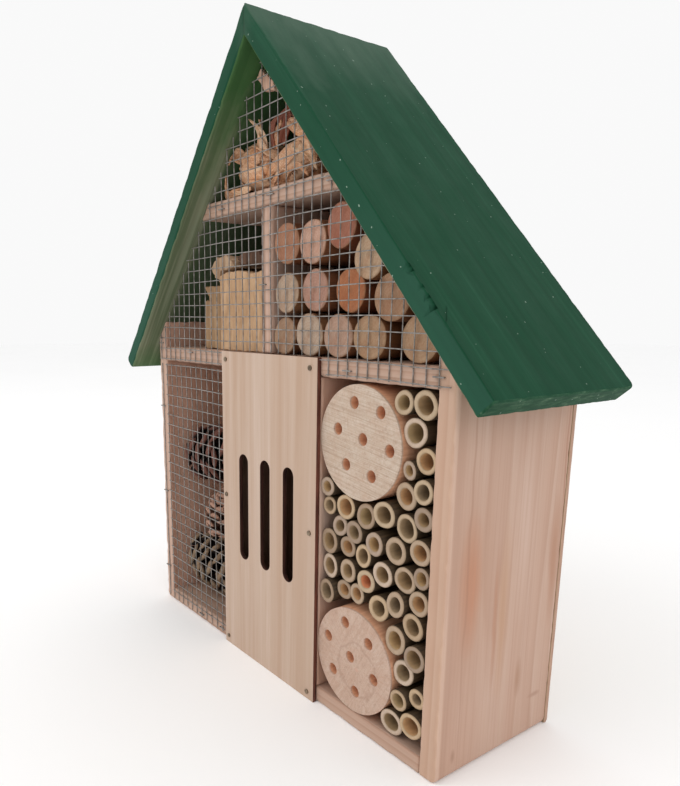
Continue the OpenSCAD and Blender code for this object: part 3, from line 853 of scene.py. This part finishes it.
def build_wire_mesh(name, node, seed):
    """Each wire of the CAD mesh as a slightly wavy wire, with weld blobs where wires cross."""
    rng = random.Random(seed)
    uprights, levels = [], []
    for low, high in solids(node):
        (uprights if high.z - low.z > high.x - low.x else levels).append((low, high))
    radius = (uprights[0][1].x - uprights[0][0].x) / 2
    phase = rng.uniform(0, 50)
    x_marks = [(low.x + high.x) / 2 for low, high in uprights]
    z_marks = [(low.z + high.z) / 2 for low, high in levels]

    def drift(x, z):
        """How far the whole mesh bows at a place; neighbouring wires move together."""
        spot = Vector((x * 16 + phase, z * 16, phase))
        return Vector((noise.noise(spot), 0.45 * noise.noise(spot + Vector((9, 3, 1))) - 0.2,
                       noise.noise(spot + Vector((3, 7, 2))))) * 1.0 * MM

    curve = bpy.data.curves.new(name, "CURVE")
    curve.dimensions, curve.use_fill_caps = "3D", True
    curve.bevel_depth, curve.bevel_resolution, curve.resolution_u = radius, 1, 1
    crossings = []
    for low, high in uprights:
        x, y = (low.x + high.x) / 2, (low.y + high.y) / 2
        stops = sorted({low.z, high.z, *[z for z in z_marks if low.z < z < high.z]})
        add_line(curve, [Vector((x, y, z)) + drift(x, z) for z in stops])
    for low, high in levels:
        z, y = (low.z + high.z) / 2, (low.y + high.y) / 2
        crossed = [x for x in x_marks if low.x < x < high.x]
        stops = sorted({max(low.x, min(crossed) - MM), high.x, *crossed})
        add_line(curve, [Vector((x, y, z)) + drift(x, z) for x in stops])
        for lo, hi in uprights:
            x = (lo.x + hi.x) / 2
            if low.x < x < high.x and lo.z < z < hi.z:
                crossings.append(Vector((x, (y + (lo.y + hi.y) / 2) / 2, z)) + drift(x, z))
    finish_piece(name, curve, [node], [wire_metal])
    bm = bmesh.new()
    for spot in crossings:
        size = radius * rng.uniform(1.0, 1.25)
        bmesh.ops.create_icosphere(bm, subdivisions=1, radius=size, matrix=Matrix.Translation(spot))
    for face in bm.faces:
        face.smooth = True
    finish_piece(name + "_welds", mesh_from(bm, name + "_welds"), [], [wire_metal])


build_wire_mesh("gable_wire_mesh", "upper_mesh", 3)
build_wire_mesh("left_bay_wire_mesh", "lower_mesh", 4)


# -------- front panel

def build_panel(node, name, edge):
    """The laser-cut panel as a filled outline with its slots, its sharp edges just broken."""
    low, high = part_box(node)
    curve = bpy.data.curves.new(name, "CURVE")
    curve.dimensions, curve.fill_mode = "2D", "BOTH"
    curve.extrude = (high.y - low.y) / 2 - edge
    curve.bevel_depth, curve.bevel_resolution, curve.offset = edge, 1, -edge
    for loop in front_loops(node):
        add_line(curve, [point.to_3d() for point in loop], closed=True)
    drawn = bpy.data.objects.new(name + "_drawn", curve)
    bpy.context.collection.objects.link(drawn)
    mesh = bpy.data.meshes.new_from_object(drawn.evaluated_get(bpy.context.evaluated_depsgraph_get()))
    bpy.data.objects.remove(drawn)
    mesh.transform(Matrix.Translation((0, (low.y + high.y) / 2, 0)) @ Matrix.Rotation(math.pi / 2, 4, "X"))
    mesh.name = name
    finish_piece(name, mesh, [node], [panel_ply])


build_panel("butterfly_panel", "slotted_panel_sheet", 0.2 * MM)


# -------- split wood and bark

def bridge(bm, loops, closed=True):
    """Smooth faces between each row of vertices and the next."""
    for one, two in zip(loops, loops[1:]):
        for k in range(len(one) if closed else len(one) - 1):
            j = (k + 1) % len(one)
            bm.faces.new((one[k], one[j], two[j], two[k])).smooth = True


def rough_prism(points, y0, y1, jag, seed):
    """A piece with a ragged outline that changes a little along its depth."""
    step, slices, edge = 1.8 * MM, 9, 0.4 * MM
    area = sum(a.x * b.y - b.x * a.y for a, b in zip(points, points[1:] + points[:1]))
    if area < 0:
        points = points[::-1]
    ring = []
    for a, b in zip(points, points[1:] + points[:1]):
        count = max(1, round((b - a).length / step))
        inward = Vector((-(b - a).y, (b - a).x)).normalized()
        ring += [(a.lerp(b, k / count), inward) for k in range(count)]
    bm = bmesh.new()
    loops = []
    depths = [y0, y0 + edge] + [y0 + (y1 - y0) * k / slices for k in range(1, slices)] + [y1 - edge, y1]
    for y in depths:
        at_end = y in (y0, y1)
        verts = []
        for point, inward in ring:
            spot = Vector((point.x * 320, y * 60, point.y * 320)) + Vector((seed * 5.3, 0, 0))
            dent = jag * max(0.0, 0.35 + noise.noise(spot) + 0.5 * noise.noise(spot * 2.7))
            moved = point + inward * (dent + (edge if at_end else 0))
            verts.append(bm.verts.new((moved.x, y, moved.y)))
        loops.append(verts)
    bridge(bm, loops)
    bm.faces.new(loops[0][::-1])
    bm.faces.new(loops[-1])
    return bm


def split_wood_look(name, light, mid, dark, relief=0.0012, ridges=(330, 60, 14)):
    """Split or torn wood whose fibres run up and down; ridges scales its relief along X, Y and Z."""
    look = Look(name, 0.25)
    ridge = look.grain(ridges, 4, 0.65)
    fibre = look.grain((1300, 1300, 60))
    look.colour(look.ramp(ridge, (0.25, dark), (0.5, mid), (0.75, light)))
    look.lay(dark, fibre, (0.4, 0), (0.8, 0.4))
    look.lay(dark, look.grain((45, 45, 30)), (0.45, 0), (0.8, 0.5))
    look.rough(ridge, (0.3, 0.75), (0.8, 0.88))
    look.bump((ridge, 0.8, relief), (fibre, 0.4, 0.0002))
    return look


def build_split_wood():
    for node, name, slot, jag, texture in (
            ("wood_block", "sawn_block", "sawn_wood", 0.6,
             ("block_wood", "#d2b08e", "#c19d7a", "#a88361", 0.0009, (260, 120, 90))),
            ("split_block", "split_wedge", "sawn_wood", 1.4,
             ("split_wood", "#b89876", "#a08060", "#7a5e42")),
            ("bark_slab", "curled_slab", "bark", 1.6,
             ("slab_wood", "#c8ac90", "#b09276", "#84664c")),
            ("bark_strip", "torn_bark", "bark", 2.6,
             ("strip_bark", "#80604c", "#5c4232", "#34241c")),
            ("wood_chip", "loose_chip", "sawn_wood", 0.9,
             ("chip_wood", "#e0bea8", "#d4ae98", "#b88a74", 0.0003))):
        low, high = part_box(node)
        bm = rough_prism(front_loops(node)[0], low.y, high.y, jag * MM, len(node))
        finish_piece(name, mesh_from(bm, name), [node], [split_wood_look(*texture)])


build_split_wood()


# -------- pine cones

def cone_look(name, core, body, tip):
    look = Look(name, 0.25)
    grain = look.grain(260, 4)
    look.colour(look.ramp(look.attribute("ring"), (0, core), (0.6, body), (0.86, body), (0.95, tip)))
    look.lay(core, grain, (0.4, 0), (0.8, 0.6))
    look.rough(grain, (0.3, 0.7), (0.8, 0.88))
    look.bump((grain, 0.5, 0.0004))
    return look


# A scale's rows from stalk to tip, as (share of its length, breadth, thickness), and its cross section
SCALE_ROWS = ((0.0, 0.25, 0.5), (0.45, 0.6, 0.55), (0.75, 0.95, 0.8), (0.92, 1.0, 1.3), (1.0, 0.62, 1.0))
SCALE_SECTION = ((-1, 0), (-0.55, 0.8), (0, 1.25), (0.55, 0.8), (1, 0), (0.55, -0.8), (-0.55, -0.8))
GOLDEN_ANGLE = math.radians(137.508)
GOLDEN_SHARE = 0.618


def add_scale(bm, layer, root, out, up, length, width, thick):
    """One cone scale: narrow stalk, broad blade and a thick blunt tip."""
    side = out.cross(up).normalized()
    loops = []
    for share, breadth, depth in SCALE_ROWS:
        middle = root + out * length * share + up * length * 0.22 * share * share
        half, flat = width / 2 * breadth, thick / 2 * depth
        verts = []
        for across, over in SCALE_SECTION:
            vert = bm.verts.new(middle + side * half * across + up * flat * over)
            vert[layer] = share
            verts.append(vert)
        loops.append(verts)
    bridge(bm, loops)
    cap = bm.verts.new(root + out * length * 1.04 + up * length * 0.26)
    cap[layer] = 1.0
    for k in range(len(loops[-1])):
        bm.faces.new((loops[-1][k], loops[-1][(k + 1) % len(loops[-1])], cap)).smooth = True


def build_cone(node, name, tilt, count, look, seed):
    """Scales set round the axis by the golden angle, opening widest a third of the way up."""
    rng = random.Random(seed)
    low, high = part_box(node)
    centre = (low + high) / 2
    radius = (high.y - low.y) / 2
    axis = Vector((math.sin(tilt), 0, math.cos(tilt)))
    heights = [(p - centre).dot(axis) for p in node_points(node)]
    foot, length = centre + axis * min(heights), max(heights) - min(heights)
    right = Vector((0, 1, 0))
    ahead = axis.cross(right)
    bm = bmesh.new()
    layer = bm.verts.layers.float.new("ring")
    for k in range(count):
        share = (k + 0.5) / count
        angle = k * GOLDEN_ANGLE + rng.uniform(-0.14, 0.14)
        reach = radius * (0.42 + 0.56 * math.sin(math.pi * min(1.0, 0.16 + 0.86 * share)))
        lean = math.radians(-8 + 62 * share) + rng.uniform(-0.16, 0.16)
        outward = right * math.cos(angle) + ahead * math.sin(angle)
        out = outward * math.cos(lean) + axis * math.sin(lean)
        up = axis * math.cos(lean) - outward * math.sin(lean)
        stalk = radius * 0.16
        size = (reach - stalk) / max(0.45, math.cos(lean)) * rng.uniform(0.82, 0.97)
        root = foot + axis * length * (0.06 + 0.74 * share) + outward * stalk
        add_scale(bm, layer, root, out, up, size, radius * 0.62 * rng.uniform(0.8, 1.15), radius * 0.14)
    rungs, sides = 8, 10
    core = []
    for i in range(rungs + 1):
        share = i / rungs
        middle = foot + axis * length * (0.03 + 0.86 * share)
        r = radius * 0.24 * (1.05 - share * 0.6)
        turns = [math.tau * k / sides for k in range(sides)]
        core.append([bm.verts.new(middle + (right * math.cos(turn) + ahead * math.sin(turn)) * r)
                     for turn in turns])
    bridge(bm, core)
    bm.faces.new(core[0][::-1])
    bm.faces.new(core[-1])
    finish_piece(name, mesh_from(bm, name), [node], [look])


dark_cone = cone_look("dark_cone_scales", "#140e0c", "#281a16", "#7a5044")
old_cone = cone_look("old_cone_scales", "#463028", "#846252", "#b68e7a")
pale_cone = cone_look("pale_cone_scales", "#140f0d", "#2c211c", "#967e66")
build_cone("upper_cone", "upper_pine_cone", math.radians(84), 60, dark_cone, 5)
build_cone("middle_cone", "middle_pine_cone", math.radians(8), 62, old_cone, 6)
build_cone("lower_cone", "lower_pine_cone", math.radians(98), 58, pale_cone, 8)


# -------- dry husk and bark shreds

def attic_place(point):
    """Keeps a point inside the roof space, behind the mesh and under the boards."""
    clear = 1.2 * MM
    return Vector((point.x, max(point.y, FRONT + clear),
                   min(max(point.z, ATTIC_FLOOR + 0.7 * MM), roof_under_z(point.x) - 1.4 * clear)))


def add_blade(bm, layers, spine, facing, width, cup, tone, rng):
    """A dry leaf along a spine: broad low down, pointed at the end, cupped and crumpled."""
    steps, columns = 16, 9
    seed = Vector((rng.uniform(0, 90), rng.uniform(0, 90), rng.uniform(0, 90)))
    points = [spine(i / steps) for i in range(steps + 1)]
    rows = []
    for i, point in enumerate(points):
        share = i / steps
        along = (points[min(i + 1, steps)] - points[max(i - 1, 0)]).normalized()
        out = facing(share)
        out = (out - along * out.dot(along)).normalized()
        side = along.cross(out)
        swell = 0.45 + 0.55 * math.sin(math.pi * min(1, share * 1.5))
        half = width / 2 * swell * (1 - share ** 3) + 0.3 * MM
        row = []
        for c in range(columns):
            u = 2 * c / (columns - 1) - 1
            lift = cup * half * u * u
            fold = 1.5 * MM * noise.noise(seed + Vector((u * 1.8, share * 3.5, 0)))
            fine = 0.6 * MM * noise.noise(seed + Vector((u * 4.5, share * 7, 5)))
            vert = bm.verts.new(attic_place(point + side * half * u + out * (lift + fold + fine)))
            vert[layers[0]], vert[layers[1]], vert[layers[2]] = linear(tone), u + seed.x, share
            row.append(vert)
        rows.append(row)
    bridge(bm, rows, closed=False)


def bent(start, end, bow):
    """A curve from start to end that bows by a vector at its middle."""
    start, end, bow = Vector(start) * MM, Vector(end) * MM, Vector(bow) * MM
    return lambda share: start.lerp(end, share) + bow * math.sin(math.pi * share)


def husk_look(name, dark, vein, glow, pale):
    """Papery leaf: long veins, pale painted highlights along the creases and patches of painted glow where
    light shines through.
    """
    look = Look(name, 0.35)
    look.colour(look.attribute("tone", "Color"))
    across, along = look.attribute("across"), look.attribute("along")
    streak = look.grain(1.0, 4, vector=look.xyz(look.times(across, 9.0), look.times(along, 1.6)))
    blotch = look.grain(130)
    crease = look.grain(330, vector=look.place(look.coords(), (1, 1, 1), (0.4, 0, 0)), warp=1.5)
    patch = look.grain(75, 2, 0.5, look.place(look.coords(), (1, 1, 1), (0, 0.7, 0)))
    # Painted glow: lighter patches where light would shine through the leaf
    look.lay(glow, patch, (0.5, 0), (0.62, 0.75))
    look.lay(vein, streak, (0.45, 0), (0.7, 0.45))
    # Painted highlights: a thin pale line along the creases
    look.lay(pale, crease, (0.46, 0), (0.5, 0.6), (0.54, 0))
    look.lay(dark, blotch, (0.55, 0), (0.78, 0.6))
    look.rough(blotch, (0.3, 0.5), (0.8, 0.7))
    look.bump((crease, 0.5, 0.0006), (streak, 0.6, 0.0004), (blotch, 0.3, 0.0004))
    return look


def leaf_object(name, nodes, look, blades, thick, seed):
    rng = random.Random(seed)
    bm = bmesh.new()
    layers = (bm.verts.layers.float_color.new("tone"), bm.verts.layers.float.new("across"),
              bm.verts.layers.float.new("along"))
    blades(bm, layers, rng)
    mesh = bpy.data.meshes.new(name)
    bm.to_mesh(mesh)
    bm.free()
    obj = finish_piece(name, mesh, nodes, [look])
    shell = obj.modifiers.new("Thickness", "SOLIDIFY")
    shell.thickness, shell.offset = thick, 0


HUSK_TONES = ["#d0a27e", "#c08e6a", "#dcb694", "#b07c58", "#e4c4a4"]


def bundle(centre, radii, width, turn):
    """Blades wrapped round a lump from its right end to its left, with tips that lift off."""
    count, lift = 30, 0.3
    centre, radii = Vector(centre) * MM, Vector(radii) * MM
    spin = Matrix.Rotation(turn, 3, "Y")

    def blades(bm, layers, rng):
        for k in range(count):
            roll = math.radians(k * 360 * GOLDEN_SHARE + rng.uniform(-12, 12))
            first, last = math.radians(rng.uniform(12, 70)), math.radians(rng.uniform(125, 176))
            layer = 0.72 + 0.28 * (k / count)
            rise = lift * rng.uniform(0.2, 1.0)

            def out(share, roll=roll, first=first, last=last):
                theta = first + (last - first) * share
                off = math.sin(theta)
                return spin @ Vector((math.cos(theta), off * math.cos(roll), off * math.sin(roll)))

            def spine(share, out=out, layer=layer, rise=rise):
                direction = spin.inverted() @ out(share)
                reach = spin @ Vector([a * b for a, b in zip(direction, radii)])
                return centre + reach * (layer + rise * share ** 3)

            add_blade(bm, layers, spine, out, width * rng.uniform(0.7, 1.2) * MM, rng.uniform(-0.35, -0.1),
                      rng.choice(HUSK_TONES), rng)
    return blades


def loose(pieces, tones):
    """Single blades: (start, end, bow, width, cup, facing)."""
    def blades(bm, layers, rng):
        for start, end, bow, width, cup, facing in pieces:
            add_blade(bm, layers, bent(start, end, bow), lambda share, f=Vector(facing): f, width * MM, cup,
                      rng.choice(tones), rng)
    return blades


def build_husk():
    straw = husk_look("dry_husk", "#603a26", "#a0704e", "#da9868", "#f2d6ba")
    red = husk_look("red_bark_shreds", "#301812", "#582e22", "#824632", "#965c46")
    for name, nodes, centre, radii, width, turn, seed in (
            ("husk_bundle_left", ["husk_left"], (-24, -31, 325.5), (23, 14, 14.5), 17, 8, 31),
            ("husk_bundle_right", ["husk_right"], (14, -30, 323), (27, 15, 13), 13, -14, 32),
            ("husk_rear", [], (-8, 10, 322), (44, 26, 12), 18, 0, 33)):
        blades = bundle(centre, radii, width, math.radians(turn))
        leaf_object(name, nodes, straw, blades, 0.35 * MM, seed)
    leaf_object("husk_curls", [], straw, loose([
        ((-13, -39, 330), (-26, -42, 353), (5, 0, 1), 6, 0.5, (0.2, -1, 0.2)),
        ((-10, -38, 331), (-15, -41, 351), (-4, 0, 2), 7, 0.7, (-0.3, -1, 0.1)),
        ((-4, -37, 333), (6, -41, 345), (2, 0, 5), 5, 0.5, (0, -1, 0.4)),
        ((-34, -38, 330), (-49, -43, 336), (0, -1, 3), 8, 0.6, (-0.2, -1, 0.5)),
        ((-30, -40, 313), (-52, -43, 325), (-9, 0, -7), 7, 0.8, (0.3, -1, 0.5)),
        ((-24, -42, 312), (-43, -44, 314), (0, 0, -2), 6, 0.6, (0, -1, 0.8)),
        ((12, -40, 345), (40, -42, 316), (6, 0, 5), 13, -0.3, (0.5, -1, 0.4)),
        ((20, -41, 330), (42, -43, 313), (0, 0, 4), 9, 0.5, (0.2, -1, 0.6)),
        ((16, -43, 313), (36, -44, 311), (0, 0, 5), 5, 0.7, (0, -1, 0.6)),
        ((2, -42, 312), (24, -44, 312), (0, 0, 6), 6, 0.6, (0, -1, 0.7))], HUSK_TONES), 0.4 * MM, 34)
    leaf_object("reddish_bark_shreds", ["bark_shreds"], red, loose([
        ((-6, -36, 334), (12, -40, 352), (-5, 0, 4), 7, 0.8, (-0.3, -1, 0.2)),
        ((0, -34, 336), (17, -38, 346), (0, -2, 7), 8, 0.7, (0.2, -1, 0.2)),
        ((4, -38, 334), (9, -40, 357), (5, 0, 0), 6, 0.9, (0.3, -1, 0)),
        ((-2, -30, 338), (6, -30, 358), (-6, 0, 0), 9, 0.6, (-0.2, -1, 0.1)),
        ((8, -30, 336), (14, -32, 350), (3, 0, 2), 9, 0.7, (0.4, -1, 0.1))],
        ["#6c3828", "#562a20", "#804834"]), 0.7 * MM, 35)


build_husk()


# -------- camera, light and floor

def add_camera():
    """The photograph's viewpoint: close, low and well to the right of the front."""
    camera = bpy.data.objects.new("camera", bpy.data.cameras.new("camera"))
    bpy.context.collection.objects.link(camera)
    yaw, down = math.radians(54.7), math.radians(12.2)
    ahead = Vector((-math.sin(yaw) * math.cos(down), math.cos(yaw) * math.cos(down), -math.sin(down)))
    camera.location = (0.3471, -0.2885, 0.2337)
    camera.rotation_euler = ahead.to_track_quat("-Z", "Y").to_euler()
    camera.data.lens = 30.72
    camera.data.sensor_width = 36
    camera.data.shift_x, camera.data.shift_y = 0.0856, 0.0899
    camera.data.clip_start, camera.data.clip_end = 0.01, 50
    bpy.context.scene.camera = camera


HOTEL_MIDDLE = Vector((0, 0, 0.2))


def add_light(name, place, size, power, colour):
    """A soft lamp aimed at the middle of the hotel."""
    lamp = bpy.data.lights.new(name, "AREA")
    lamp.size, lamp.energy, lamp.color = size, power, colour
    obj = bpy.data.objects.new(name, lamp)
    bpy.context.collection.objects.link(obj)
    obj.location = place
    obj.rotation_euler = (HOTEL_MIDDLE - Vector(place)).to_track_quat("-Z", "Y").to_euler()


def add_studio():
    look = Look("studio_floor", 0.1, Roughness=0.9)
    look.colour(look.ramp(look.grain(2.0, 2, 0.55), (0, "#fcfcfc"), (1, "#ffffff")))
    bm = bmesh.new()
    bmesh.ops.create_grid(bm, x_segments=8, y_segments=8, size=6)
    mesh = mesh_from(bm, "studio_floor")
    mesh.materials.append(look.material)
    floor = bpy.data.objects.new("studio_floor", mesh)
    bpy.context.collection.objects.link(floor)
    world = bpy.data.worlds.new("studio_world")
    bpy.context.scene.world = world
    world.use_nodes = True
    background = world.node_tree.nodes["Background"]
    background.inputs["Color"].default_value = (1.0, 1.0, 1.0, 1)
    background.inputs["Strength"].default_value = 0.95
    add_light("key_light", (-0.5, -1.6, 1.7), 1.4, 10, (1.0, 0.98, 0.96))
    add_light("side_light", (1.9, -0.4, 1.2), 1.2, 5, (1.0, 0.98, 0.97))
    bpy.context.scene.view_settings.view_transform = "Standard"


add_camera()
add_studio()
